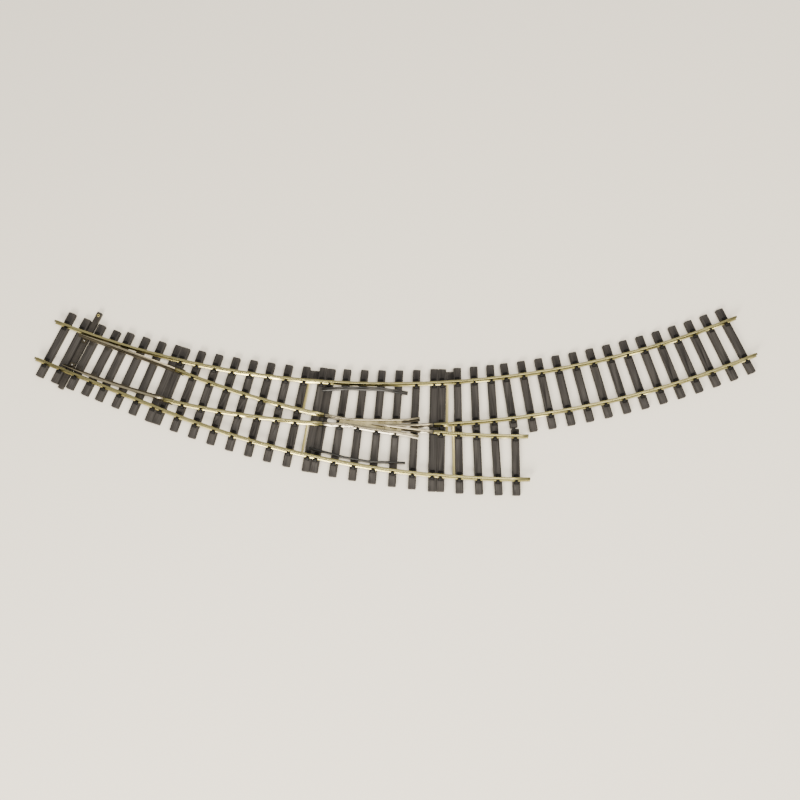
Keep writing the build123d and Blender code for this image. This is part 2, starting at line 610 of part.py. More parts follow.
nose_x = rails_cross(-HALF + HEAD_WIDTH / 2, HALF - HEAD_WIDTH / 2)[0]
legs_x = rails_cross(-HALF, HALF)[0]
inner_leg = station_at(INNER, legs_x, -HALF)
outer_leg = station_at(OUTER, legs_x, HALF)
with BuildPart() as crossing_vee:
    for route, offset, start, stop in (
        (INNER, -HALF, inner_leg, JOINT_STATION_RIGHT[0] - HALF_JOINT),
        (OUTER, HALF, outer_leg, JOINT_STATION_RIGHT[1] - HALF_JOINT),
    ):
        with BuildSketch(across(*along(route, start, offset))):
            add(rail_section.sketch)
        revolve(axis=curve_axis(route), revolution_arc=degrees((stop - start) / RADIUS))
    for spread, level, height in (
        (0.0, RAIL_BASE, RAIL_HEIGHT),
        (FOOT_HALF - HEAD_WIDTH / 2, RAIL_BASE, FOOT_EDGE),
    ):
        upper = -HALF + HEAD_WIDTH / 2 + spread
        lower = HALF - HEAD_WIDTH / 2 - spread
        blunt = nose_x + NOSE_BLUNT
        past = legs_x + BEND_LAP
        with BuildSketch(toe.offset(level)):
            with BuildLine():
                Polyline(
                    along(INNER, station_at(INNER, blunt, upper), upper)[:2],
                    along(INNER, station_at(INNER, past, upper), upper)[:2],
                    along(OUTER, station_at(OUTER, past, lower), lower)[:2],
                    along(OUTER, station_at(OUTER, blunt, lower), lower)[:2],
                    close=True,
                )
            make_face()
        extrude(amount=height)
pieces["crossing_vee"] = crossing_vee

# Wing rails: each follows its approach rail to the knuckle, then the far leg of the vee, and ends
# in a flare. Each run goes a little past the bend so that the outside of the bend is filled.
def lean(start, stop):
    """Heading in the toe plane from one point to another."""
    return degrees(atan2(stop[1] - start[1], stop[0] - start[0]))


for name, order, approach, approach_offset, beside, beside_offset, flare_offset in (
    ("wing_rail_upper", 0, OUTER, HALF, INNER, -WING_OFFSET, -WING_END_OFFSET),
    ("wing_rail_lower", 1, INNER, -HALF, OUTER, WING_OFFSET, WING_END_OFFSET),
):
    inner_line, outer_line = sorted(((approach, approach_offset), (beside, beside_offset)))
    knuckle_x = rails_cross(inner_line[1], outer_line[1])[0]
    start = JOINT_STATION_LEFT[1 - order] + HALF_JOINT
    knuckle = station_at(approach, knuckle_x, approach_offset)
    bend = station_at(beside, knuckle_x, beside_offset)
    flare_start = along(beside, WING_FLARE_STATION[order], beside_offset)
    flare_end = along(beside, WING_END_STATION[order], flare_offset)
    with BuildPart() as wing_rail:
        with BuildSketch(across(*along(approach, start, approach_offset))):
            add(rail_section.sketch)
        revolve(
            axis=curve_axis(approach),
            revolution_arc=degrees((knuckle + BEND_LAP - start) / RADIUS),
        )
        with BuildSketch(across(*along(beside, bend, beside_offset))):
            add(rail_section.sketch)
        revolve(
            axis=curve_axis(beside),
            revolution_arc=degrees((WING_FLARE_STATION[order] + BEND_LAP - bend) / RADIUS),
        )
        with BuildSketch(across(*flare_start[:2], lean(flare_start, flare_end))):
            add(rail_section.sketch)
        extrude(amount=hypot(flare_end[0] - flare_start[0], flare_end[1] - flare_start[1]))
    pieces[name] = wing_rail

def at_x(route, x, offset):
    """Point at a given x on a line that runs beside a route."""
    return along(route, station_at(route, x, offset), offset)[:2]


# Filler blocks between the webs of the wing rails and the vee, and the thin floor between them,
# which stays clear of the nose
FLOOR_IN, FLOOR_OUT = WING_OFFSET + WEB / 2 + THROAT_GAP, HALF - HEAD_WIDTH / 2 - THROAT_GAP
FLOOR_START = THROAT_STOP + THROAT_GAP
with BuildPart() as filler_blocks:
    with BuildSketch(toe.offset(FILLER_BOTTOM)):
        for route, side, stations in (
            (INNER, -1, FILLER_STATIONS_INNER),
            (OUTER, 1, FILLER_STATIONS_OUTER),
        ):
            for station in stations:
                with Locations(spot(*along(route, station, side * (HALF + WING_OFFSET) / 2))):
                    Rectangle(FILLER_LENGTH, HALF - WING_OFFSET - WEB - 2 * FLOOR_EDGE)
    extrude(amount=FILLER_TOP - FILLER_BOTTOM)
    with BuildSketch(toe.offset(FILLER_BOTTOM)):
        for route, side in ((INNER, -1), (OUTER, 1)):
            with BuildLine():
                Polyline(
                    at_x(route, FLOOR_START, side * FLOOR_IN),
                    at_x(route, FLOOR_STOP, side * FLOOR_IN),
                    at_x(route, FLOOR_STOP, side * FLOOR_OUT),
                    at_x(route, FLOOR_START, side * FLOOR_OUT),
                    close=True,
                )
            make_face()
    extrude(amount=FLOOR_THICK)
pieces["filler_blocks"] = filler_blocks

# Throat plate between the wing rails, forked round the nose
clear = WEB / 2 + THROAT_GAP
upper_knuckle = rails_cross(-WING_OFFSET, HALF)[0]
lower_knuckle = rails_cross(-HALF, WING_OFFSET)[0]
slot_x = nose_x + NOSE_BLUNT - THROAT_GAP
slot_upper = -HALF + HEAD_WIDTH / 2 + THROAT_GAP
slot_lower = HALF - HEAD_WIDTH / 2 - THROAT_GAP
with BuildPart() as throat_plate:
    with BuildSketch(toe.offset(FILLER_BOTTOM)):
        with BuildLine():
            Polyline(
                at_x(OUTER, THROAT_START, HALF - clear),
                at_x(OUTER, upper_knuckle, HALF - clear),
                at_x(INNER, THROAT_STOP, -WING_OFFSET - clear),
                at_x(INNER, THROAT_STOP, slot_upper),
                at_x(INNER, slot_x, slot_upper),
                at_x(OUTER, slot_x, slot_lower),
                at_x(OUTER, THROAT_STOP, slot_lower),
                at_x(OUTER, THROAT_STOP, WING_OFFSET + clear),
                at_x(INNER, lower_knuckle, -HALF + clear),
                at_x(INNER, THROAT_START, -HALF + clear),
                close=True,
            )
        make_face()
    extrude(amount=THROAT_TOP - FILLER_BOTTOM)
pieces["throat_plate"] = throat_plate

# Check rails: an upright on the sleepers with a foot on the side away from the running rail
for name, route, bends, side in (
    ("check_rail_inner", INNER, CHECK_INNER, -1),
    ("check_rail_outer", OUTER, CHECK_OUTER, 1),
):
    with BuildSketch() as check_section:
        with Locations((0, CHECK_HEIGHT / 2)):
            Rectangle(CHECK_WIDTH, CHECK_HEIGHT)
        fillet(check_section.vertices().group_by(Axis.Y)[-1], CHECK_ROUND)
        with Locations((side * CHECK_FOOT_WIDTH / 2, CHECK_FOOT_HEIGHT / 2)):
            Rectangle(CHECK_FOOT_WIDTH, CHECK_FOOT_HEIGHT)
    points = [along(route, *bend) for bend in bends]
    with BuildPart() as check_rail:
        with BuildLine(toe.offset(SLEEPER_HEIGHT)):
            Polyline(*[point[:2] for point in points])
        with BuildSketch(across(*points[0][:2], lean(points[0], points[1]), SLEEPER_HEIGHT)):
            add(check_section.sketch)
        sweep(transition=Transition.RIGHT)
    pieces[name] = check_rail

# Insulating joiners: a sleeve round the two feet, with a rail-shaped wall between the rail ends
JOINER_SIDE = (FOOT_WIDTH + FOOT_PLAY + JOINER_WALL) / 2
for name, route, joint_station, offset in (
    ("joiner_approach_inner", INNER, JOINT_STATION_LEFT[0], -HALF),
    ("joiner_approach_outer", OUTER, JOINT_STATION_LEFT[1], HALF),
    ("joiner_exit_inner", INNER, JOINT_STATION_RIGHT[0], -HALF),
    ("joiner_exit_outer", OUTER, JOINT_STATION_RIGHT[1], HALF),
):
    place = along(route, joint_station, offset)
    wall_start = along(route, joint_station - HALF_JOINT, offset)
    wall = JOINT_GAP * (RADIUS - offset) / RADIUS
    with BuildPart() as joiner:
        with BuildSketch(toe.offset(SLEEPER_HEIGHT)):
            with Locations(spot(*place)):
                Rectangle(JOINER_LENGTH, 2 * JOINER_SIDE + JOINER_WALL)
        extrude(amount=PLATE)
        with BuildSketch(toe.offset(RAIL_BASE)):
            with Locations(spot(*place)):
                with Locations((0, JOINER_SIDE), (0, -JOINER_SIDE)):
                    Rectangle(JOINER_LENGTH, JOINER_WALL)
        extrude(amount=JOINER_HEIGHT)
        with BuildSketch(across(*wall_start)):
            add(rail_section.sketch)
            with Locations((0, RAIL_HEIGHT / 2)):
                Rectangle(HEAD_WIDTH, RAIL_HEIGHT)
        extrude(amount=wall)
    pieces[name] = joiner

# Jumper strips under the rails, each with a tab up to the foot of the rail at each end
UPPER_RAILS = ((INNER, HALF), (OUTER, HALF))
LOWER_RAILS = ((INNER, -HALF), (OUTER, -HALF))
last_closure = run_of(CLOSURE_START, CLOSURE_PITCH, CLOSURE_COUNT)[-1]
for name, stations, shift, ends in (
    ("jumper_approach_inner", last_closure, SLEEPER_WIDTH / 2 + STRIP_SHIFT, UPPER_RAILS),
    ("jumper_approach_outer", SECOND_DOUBLE, -DOUBLE_WIDTH - STRIP_SHIFT_WIDE, LOWER_RAILS),
    ("jumper_exit_inner", THIRD_DOUBLE, DOUBLE_WIDTH + STRIP_SHIFT, UPPER_RAILS),
    ("jumper_exit_outer", JUNCTION_START, -SLEEPER_WIDTH / 2 - STRIP_SHIFT, LOWER_RAILS),
):
    line = common_beam(stations, shift)
    first = meeting(*line[:2], *ends[0])
    second = meeting(*line[:2], *ends[1])
    middle = ((first[0] + second[0]) / 2, (first[1] + second[1]) / 2)
    reach = hypot(second[0] - first[0], second[1] - first[1])
    heading = lean(first, second)
    with BuildPart() as jumper:
        with BuildSketch(toe.offset(STRIP_TOP - STRIP_THICK)):
            with Locations(spot(*middle, heading)):
                Rectangle(reach + TAB_LENGTH, STRIP_WIDTH)
        extrude(amount=STRIP_THICK)
        with BuildSketch(toe.offset(STRIP_TOP)):
            with Locations(spot(*middle, heading)):
                with Locations((reach / 2, 0), (-reach / 2, 0)):
                    Rectangle(TAB_LENGTH, STRIP_WIDTH)
        extrude(amount=RAIL_BASE - STRIP_TOP)
    pieces[name] = jumper

os.makedirs("parts", exist_ok=True)
for name, piece in pieces.items():
    piece.part.label = name
    export_step(piece.part, f"parts/{name}.step")
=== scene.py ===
"""Looks of a curved turnout for 45 mm gauge model track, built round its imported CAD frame.

Every piece that shows is a cleaned copy of a CAD node with a map that runs along its own length,
or a small detail made on top of one. The plates, strips, fillers and tie bar are also rounded
along their sharp edges. All lengths in the size fields are in millimetres.
"""

import json
import logging
import math
from collections.abc import Iterable, Sequence
from dataclasses import dataclass, field
from enum import Enum

import bmesh
import bpy
import numpy as np
from mathutils import Matrix, Vector

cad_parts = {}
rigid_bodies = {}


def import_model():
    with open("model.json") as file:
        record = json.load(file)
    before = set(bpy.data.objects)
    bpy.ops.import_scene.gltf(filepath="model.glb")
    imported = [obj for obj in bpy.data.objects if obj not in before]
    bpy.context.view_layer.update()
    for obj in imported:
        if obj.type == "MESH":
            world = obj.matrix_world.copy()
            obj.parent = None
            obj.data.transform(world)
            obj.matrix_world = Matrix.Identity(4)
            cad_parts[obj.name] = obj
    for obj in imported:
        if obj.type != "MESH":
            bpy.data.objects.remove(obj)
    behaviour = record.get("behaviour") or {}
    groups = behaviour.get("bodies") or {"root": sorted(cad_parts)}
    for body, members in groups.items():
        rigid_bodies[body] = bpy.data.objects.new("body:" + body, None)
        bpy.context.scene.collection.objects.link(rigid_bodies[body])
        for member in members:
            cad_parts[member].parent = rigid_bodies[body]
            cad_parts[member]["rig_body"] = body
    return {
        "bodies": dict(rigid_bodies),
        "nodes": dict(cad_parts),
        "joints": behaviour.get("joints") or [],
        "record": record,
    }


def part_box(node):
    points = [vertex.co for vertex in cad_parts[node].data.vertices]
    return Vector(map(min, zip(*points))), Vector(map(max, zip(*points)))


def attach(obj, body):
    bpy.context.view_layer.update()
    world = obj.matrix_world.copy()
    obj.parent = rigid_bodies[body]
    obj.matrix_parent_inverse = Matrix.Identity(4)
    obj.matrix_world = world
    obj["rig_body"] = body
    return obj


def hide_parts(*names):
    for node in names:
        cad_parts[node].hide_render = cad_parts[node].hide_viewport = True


LOG = logging.getLogger("turnout")
MM = 0.001
LENGTH_MAP = "length_map"
SHARP = math.radians(32)
MERGE = 0.0005 * MM


class Pattern(Enum):
    """Where a finish reads its pattern from."""

    ALONG = "the piece's own map, in millimetres along and across it"
    SOLID = "the piece's place in the frame"


def linear(code: str) -> tuple[float, float, float, float]:
    """Turns a colour into what the shader sockets hold.

    Args:
        code: An sRGB colour as #RRGGBB.

    Returns:
        The linear colour with an alpha of 1.
    """
    channels = [int(code[i : i + 2], 16) / 255 for i in (1, 3, 5)]
    red, green, blue = (
        c / 12.92 if c <= 0.04045 else ((c + 0.055) / 1.055) ** 2.4 for c in channels
    )
    return red, green, blue, 1.0


def add_node(
    tree: bpy.types.NodeTree,
    kind: str,
    settings: dict[str, object] | None = None,
    inputs: dict[str | int, object] | None = None,
) -> bpy.types.Node:
    """Adds one node with its settings and links.

    Args:
        tree: The node tree that it goes into.
        kind: The node's type name.
        settings: Values for the node's own properties.
        inputs: For each input socket, by name or number, a value or the socket to link it to.

    Returns:
        The new node.
    """
    node = tree.nodes.new(kind)
    for name, value in (settings or {}).items():
        setattr(node, name, value)
    for key, value in (inputs or {}).items():
        if isinstance(value, bpy.types.NodeSocket):
            tree.links.new(value, node.inputs[key])
        else:
            node.inputs[key].default_value = value
    return node


def new_material(name: str) -> tuple[bpy.types.Material, bpy.types.NodeTree]:
    """Makes an empty node material.

    Args:
        name: What the material is called.

    Returns:
        The material and its node tree, with no nodes in it.
    """
    material = bpy.data.materials.new(name)
    material.use_nodes = True
    material.node_tree.nodes.clear()
    return material, material.node_tree


def pattern_place(
    tree: bpy.types.NodeTree, pattern: Pattern, size: Sequence[float]
) -> bpy.types.NodeSocket:
    """Coordinates that count in features of a given size.

    Args:
        tree: The material's node tree.
        pattern: Where the coordinates come from.
        size: Length of one feature along each axis, in mm.

    Returns:
        The socket that carries the coordinates.
    """
    if pattern is Pattern.ALONG:
        source = add_node(tree, "ShaderNodeUVMap", {"uv_map": LENGTH_MAP}).outputs["UV"]
        scale = tuple(1 / s for s in size)
    else:
        source = add_node(tree, "ShaderNodeTexCoord").outputs["Object"]
        scale = tuple(1 / (s * MM) for s in size)
    return add_node(
        tree, "ShaderNodeMapping", inputs={"Vector": source, "Scale": scale}
    ).outputs["Vector"]


@dataclass(frozen=True)
class MouldedPlastic:
    """An injection-moulded plastic, with wood grain cut into the mould where it has any.

    The fine grain is grain_length by grain_width, and the few deep splits are split_stretch times
    as long and split_width wide. Depths other than grain_depth are shares of it.
    """

    name: str
    light: str
    dark: str
    worn: str
    pattern: Pattern = Pattern.SOLID
    grain_length: float = 36.0
    grain_width: float = 0.8
    split_width: float = 2.1
    grain_depth: float = 0.05
    split_stretch: float = 2.6
    split_depth: float = 0.9
    split_darkness: float = 0.6
    grit_depth: float = 0.25
    patch: float = 23.0
    dust: float = 0.55
    speck: float = 0.5
    gloss: tuple[float, float] = (0.5, 0.68)
    specular: float = 0.5

    def material(self) -> bpy.types.Material:
        """Builds the plastic.

        Returns:
            A material whose grain runs along the piece, with worn ridges and dusty patches.
        """
        material, tree = new_material(self.name)
        fine = pattern_place(tree, self.pattern, (self.grain_length, self.grain_width, 1.0))
        split_length = self.grain_length * self.split_stretch
        wide = pattern_place(tree, self.pattern, (split_length, self.split_width, 1.0))
        broad = pattern_place(tree, self.pattern, (self.patch,) * 3)
        grit = pattern_place(tree, Pattern.SOLID, (self.speck,) * 3)
        # Long thin streaks are the fine grain: they give each sleeper its brushed, wooden top.
        streak = add_node(
            tree,
            "ShaderNodeTexNoise",
            inputs={
                "Vector": fine,
                "Scale": 1.0,
                "Detail": 3.0,
                "Roughness": 0.62,
                "Distortion": 0.05,
            },
        ).outputs["Fac"]
        # Wider streaks, kept only where they peak, are the few deep splits along a plank.
        split = add_node(
            tree,
            "ShaderNodeTexNoise",
            inputs={
                "Vector": wide,
                "Scale": 1.0,
                "Detail": 1.0,
                "Roughness": 0.5,
                "Distortion": 0.03,
            },
        ).outputs["Fac"]
        groove = add_node(
            tree,
            "ShaderNodeMapRange",
            {"interpolation_type": "SMOOTHSTEP"},
            {"Value": split, "From Min": 0.55, "From Max": 0.66, "To Min": 0.0, "To Max": 1.0},
        ).outputs["Result"]
        blotch = add_node(
            tree, "ShaderNodeTexNoise", inputs={"Vector": broad, "Scale": 1.0, "Detail": 2.0}
        ).outputs["Fac"]
        grain = add_node(
            tree, "ShaderNodeTexNoise", inputs={"Vector": grit, "Scale": 1.0, "Detail": 2.0}
        ).outputs["Fac"]
        # Ridges carry the lighter colour and hollows the darker one, as handled plastic does.
        ridge = add_node(
            tree,
            "ShaderNodeMapRange",
            inputs={"Value": streak, "From Min": 0.32, "From Max": 0.68},
        ).outputs["Result"]
        body = add_node(
            tree,
            "ShaderNodeMix",
            {"data_type": "RGBA"},
            {"Factor": ridge, 6: linear(self.dark), 7: linear(self.light)},
        ).outputs[2]
        dusty = add_node(
            tree,
            "ShaderNodeMapRange",
            inputs={"Value": blotch, "From Min": 0.45, "From Max": 0.75, "To Max": self.dust},
        ).outputs["Result"]
        powdered = add_node(
            tree,
            "ShaderNodeMix",
            {"data_type": "RGBA"},
            {"Factor": dusty, 6: body, 7: linear(self.worn)},
        ).outputs[2]
        cut = add_node(
            tree, "ShaderNodeMath", {"operation": "MULTIPLY"}, {0: groove, 1: self.split_darkness}
        ).outputs[0]
        coloured = add_node(
            tree,
            "ShaderNodeMix",
            {"data_type": "RGBA"},
            {"Factor": cut, 6: powdered, 7: linear(self.dark)},
        ).outputs[2]
        height = add_node(
            tree,
            "ShaderNodeMath",
            {"operation": "MULTIPLY_ADD"},
            {0: groove, 1: -self.split_depth, 2: streak},
        ).outputs[0]
        rough_height = add_node(
            tree,
            "ShaderNodeMath",
            {"operation": "MULTIPLY_ADD"},
            {0: grain, 1: self.grit_depth, 2: height},
        ).outputs[0]
        bump = add_node(
            tree,
            "ShaderNodeBump",
            inputs={"Height": rough_height, "Distance": self.grain_depth * MM, "Strength": 1.0},
        ).outputs["Normal"]
        roughness = add_node(
            tree,
            "ShaderNodeMapRange",
            inputs={
                "Value": blotch,
                "From Min": 0.3,
                "From Max": 0.7,
                "To Min": self.gloss[0],
                "To Max": self.gloss[1],
            },
        ).outputs["Result"]
        shader = add_node(
            tree,
            "ShaderNodeBsdfPrincipled",
            inputs={
                "Base Color": coloured,
                "Roughness": roughness,
                "Normal": bump,
                "IOR": 1.5,
                "Metallic": 0.0,
                "Specular IOR Level": self.specular,
            },
        ).outputs["BSDF"]
        add_node(tree, "ShaderNodeOutputMaterial", inputs={"Surface": shader})
        return material


@dataclass(frozen=True)
class WorkedMetal:
    """A drawn, rolled or cast metal with one colour on top, one low down and one in between.

    The top colour comes in between polish_from and polish_to above the floor, and the shade
    colour, a painted shade, takes over from the low colour above painted_shade_from. On the rails
    the low colour is painted paler than the top, as a painted highlight on the foot. The stain
    covers top_stain of the top at most, and side_stain more of the rest.
    """

    name: str
    top: str
    low: str
    stain: str
    shade: str
    polish_from: float = 10.15
    polish_to: float = 10.45
    # From this height up the shade colour takes over: painted shade under the rail head.
    painted_shade_from: float = 6.1
    painted_shade_blend: float = 0.25
    pattern: Pattern = Pattern.ALONG
    line_length: float = 26.0
    line_width: float = 0.3
    patch: float = 17.0
    most_tarnish: float = 0.7
    top_stain: float = 0.25
    side_stain: float = 0.2
    pit: float = 0.35
    pit_depth: float = 0.4
    scratch_depth: float = 0.006
    gloss: tuple[float, float] = (0.22, 0.36)

    def material(self) -> bpy.types.Material:
        """Builds the metal.

        Returns:
            A material with lines along the piece, a top, low and shade colour by height, and
            patches of tarnish.
        """
        material, tree = new_material(self.name)
        drawn = pattern_place(tree, self.pattern, (self.line_length, self.line_width, 1.0))
        cloud = pattern_place(tree, Pattern.SOLID, (self.patch,) * 3)
        fine = pattern_place(tree, Pattern.SOLID, (self.pit,) * 3)
        # Lines left by the drawing die or the file stretch the highlights along the metal.
        lines = add_node(
            tree,
            "ShaderNodeTexNoise",
            inputs={"Vector": drawn, "Scale": 1.0, "Detail": 3.0, "Roughness": 0.6},
        ).outputs["Fac"]
        clouds = add_node(
            tree,
            "ShaderNodeTexNoise",
            inputs={"Vector": cloud, "Scale": 1.0, "Detail": 4.0, "Roughness": 0.6},
        ).outputs["Fac"]
        pits = add_node(
            tree, "ShaderNodeTexNoise", inputs={"Vector": fine, "Scale": 1.0, "Detail": 1.0}
        ).outputs["Fac"]
        level = add_node(
            tree,
            "ShaderNodeSeparateXYZ",
            inputs={"Vector": add_node(tree, "ShaderNodeTexCoord").outputs["Object"]},
        ).outputs["Z"]
        # The top colour covers the piece from polish_from up and carries less tarnish; below it
        # the low colour, which on the rails is painted paler than the head as a painted highlight.
        polish = add_node(
            tree,
            "ShaderNodeMapRange",
            {"interpolation_type": "SMOOTHSTEP"},
            {"Value": level, "From Min": self.polish_from * MM, "From Max": self.polish_to * MM},
        ).outputs["Result"]
        tarnish = add_node(
            tree,
            "ShaderNodeMapRange",
            inputs={
                "Value": clouds,
                "From Min": 0.42,
                "From Max": 0.72,
                "To Max": self.most_tarnish,
            },
        ).outputs["Result"]
        # The shade colour on the web and the head's sides is painted shade under the rail head.
        painted_shade_mask = add_node(
            tree,
            "ShaderNodeMapRange",
            {"interpolation_type": "SMOOTHSTEP"},
            {
                "Value": level,
                "From Min": self.painted_shade_from * MM,
                "From Max": (self.painted_shade_from + self.painted_shade_blend) * MM,
            },
        ).outputs["Result"]
        side = add_node(
            tree,
            "ShaderNodeMix",
            {"data_type": "RGBA"},
            {"Factor": painted_shade_mask, 6: linear(self.low), 7: linear(self.shade)},
        ).outputs[2]
        base = add_node(
            tree,
            "ShaderNodeMix",
            {"data_type": "RGBA"},
            {"Factor": polish, 6: side, 7: linear(self.top)},
        ).outputs[2]
        unrubbed = add_node(
            tree, "ShaderNodeMath", {"operation": "SUBTRACT"}, {0: 1.0, 1: polish}
        ).outputs[0]
        share = add_node(
            tree,
            "ShaderNodeMath",
            {"operation": "MULTIPLY_ADD"},
            {0: unrubbed, 1: self.side_stain, 2: self.top_stain},
        ).outputs[0]
        amount = add_node(
            tree, "ShaderNodeMath", {"operation": "MULTIPLY"}, {0: tarnish, 1: share}
        ).outputs[0]
        stained = add_node(
            tree,
            "ShaderNodeMix",
            {"data_type": "RGBA"},
            {"Factor": amount, 6: base, 7: linear(self.stain)},
        ).outputs[2]
        streaked = add_node(
            tree,
            "ShaderNodeMapRange",
            inputs={
                "Value": lines,
                "From Min": 0.35,
                "From Max": 0.65,
                "To Min": 0.86,
                "To Max": 1.05,
            },
        ).outputs["Result"]
        colour = add_node(
            tree,
            "ShaderNodeVectorMath",
            {"operation": "SCALE"},
            {"Vector": stained, "Scale": streaked},
        ).outputs["Vector"]
        mixed = add_node(
            tree,
            "ShaderNodeMath",
            {"operation": "MULTIPLY_ADD"},
            {0: pits, 1: self.pit_depth, 2: lines},
        ).outputs[0]
        bump = add_node(
            tree,
            "ShaderNodeBump",
            inputs={"Height": mixed, "Distance": self.scratch_depth * MM, "Strength": 1.0},
        ).outputs["Normal"]
        roughness = add_node(
            tree,
            "ShaderNodeMapRange",
            inputs={
                "Value": clouds,
                "From Min": 0.3,
                "From Max": 0.7,
                "To Min": self.gloss[0],
                "To Max": self.gloss[1],
            },
        ).outputs["Result"]
        shader = add_node(
            tree,
            "ShaderNodeBsdfPrincipled",
            inputs={
                "Base Color": colour,
                "Metallic": 1.0,
                "Roughness": roughness,
                "Normal": bump,
            },
        ).outputs["BSDF"]
        add_node(tree, "ShaderNodeOutputMaterial", inputs={"Surface": shader})
        return material


@dataclass(frozen=True)
class PaleBoard:
    """Matt coated board, which the turnout lies on."""

    name: str = "coated_board_matt"
    light: str = "#EFE9DD"
    shade: str = "#E8E2D6"
    fibre: float = 1.6

    def material(self) -> bpy.types.Material:
        """Builds the board.

        Returns:
            A material that is almost plain, with a faint fibre so that it isn't dead flat.
        """
        material, tree = new_material(self.name)
        place = pattern_place(tree, Pattern.SOLID, (self.fibre,) * 3)
        fibre = add_node(
            tree, "ShaderNodeTexNoise", inputs={"Vector": place, "Scale": 1.0, "Detail": 3.0}
        ).outputs["Fac"]
        colour = add_node(
            tree,
            "ShaderNodeMix",
            {"data_type": "RGBA"},
            {"Factor": fibre, 6: linear(self.shade), 7: linear(self.light)},
        ).outputs[2]
        shader = add_node(
            tree,
            "ShaderNodeBsdfPrincipled",
            inputs={"Base Color": colour, "Roughness": 0.8, "Specular IOR Level": 0.3},
        ).outputs["BSDF"]
        add_node(tree, "ShaderNodeOutputMaterial", inputs={"Surface": shader})
        return material


# ABS moulded with wood grain: brown-grey, half matt, with dark lines along each sleeper. The lines
# are drawn wide, because lines as fine as real moulded grain would vanish.
SLEEPER_ABS = MouldedPlastic(
    "ABS_moulded_wood_grain",
    light="#383533",
    dark="#211F1E",
    worn="#3A3734",
    pattern=Pattern.ALONG,
    specular=0.2,
)
# The same ABS where the mould was plain: the chairs are smoother, and painted much darker than
# the sleepers, partly as painted shade around the rails' feet.
CHAIR_ABS_AND_PAINTED_SHADE = MouldedPlastic(
    "ABS_moulded_plain_and_painted_shade",
    light="#12100E",
    dark="#0B0A09",
    worn="#181513",
    grain_length=1.2,
    grain_width=1.2,
    grain_depth=0.02,
    gloss=(0.4, 0.55),
    specular=0.15,
)
# Nylon, moulded: near black with a soft sheen, and paler in patches.
CHECK_NYLON = MouldedPlastic(
    "nylon_moulded_black",
    light="#201F1E",
    dark="#141413",
    worn="#2E2C2A",
    pattern=Pattern.ALONG,
    grain_width=0.5,
    grain_depth=0.015,
    gloss=(0.26, 0.4),
)
# Nylon again, but dull and as black as it comes, so that each joint reads as a dark gap.
JOINER_NYLON = MouldedPlastic(
    "nylon_moulded_matt_black",
    light="#131211",
    dark="#0B0A0A",
    worn="#191715",
    grain_length=1.0,
    grain_width=1.0,
    grain_depth=0.01,
    gloss=(0.46, 0.6),
    specular=0.3,
)
# Acetal, moulded: the slippery bar between the blades, brown-grey like the sleepers but plain.
TIE_ACETAL = MouldedPlastic(
    "acetal_moulded",
    light="#2E2A26",
    dark="#211E1B",
    worn="#37332E",
    grain_length=3.0,
    grain_width=1.0,
    grain_depth=0.015,
    gloss=(0.34, 0.48),
    specular=0.3,
)
# Polyester resin, cast: the beige lumps between the crossing's rails, slightly chalky.
FILLER_RESIN = MouldedPlastic(
    "polyester_resin_cast",
    light="#ABA078",
    dark="#8A805C",
    worn="#B9AF88",
    grain_length=1.6,
    grain_width=1.6,
    grain_depth=0.05,
    patch=6.0,
    gloss=(0.34, 0.55),
    specular=0.4,
)
# Brass, cold drawn: pale gold with long faint die lines. The head is painted greyer than the
# foot, the foot paler gold as a painted highlight, and the web takes a painted shade, so that
# each rail reads as two bright lines and a dark one.
RAIL_BRASS = WorkedMetal(
    "brass_drawn",
    top="#A29A6C",
    low="#DDD18C",
    stain="#8F8556",
    shade="#413B24",
)
# Brass strip, rolled and left bare: flatter and duller than the rails.
STRIP_BRASS = WorkedMetal(
    "brass_rolled_strip",
    top="#B5AA78",
    low="#AA9F6C",
    stain="#867A4C",
    shade="#867A4C",
    polish_from=0.0,
    polish_to=20.0,
    painted_shade_from=30.0,
    gloss=(0.36, 0.52),
)
# Nickel silver, drawn and filed: a warm silver with fine file lines and little tarnish.
# Its foot is painted paler than its head as a painted highlight, and its web and the head's sides
# take a painted shade.
NICKEL_SILVER = WorkedMetal(
    "nickel_silver_drawn",
    top="#A0977F",
    low="#D6CDB8",
    stain="#857C66",
    shade="#4F483B",
    line_length=12.0,
    line_width=0.35,
    gloss=(0.24, 0.38),
)
# Steel plate, chemically blackened: nearly as dark as the sleepers, with a cloudy steel glint.
PLATE_STEEL = WorkedMetal(
    "steel_blackened",
    top="#4E4A45",
    low="#45413C",
    stain="#332F2B",
    shade="#332F2B",
    pattern=Pattern.SOLID,
    line_length=1.5,
    line_width=1.5,
    patch=2.5,
    painted_shade_from=30.0,
    gloss=(0.38, 0.55),
)
# Steel wire, turned: bright pins with marks too fine to see as more than a glint.
PIN_STEEL = WorkedMetal(
    "steel_turned",
    top="#B5B3AE",
    low="#A19F99",
    stain="#77736B",
    shade="#77736B",
    pattern=Pattern.SOLID,
    line_length=0.6,
    line_width=0.2,
    patch=1.5,
    polish_from=6.0,
    polish_to=7.6,
    painted_shade_from=30.0,
    gloss=(0.2, 0.32),
)


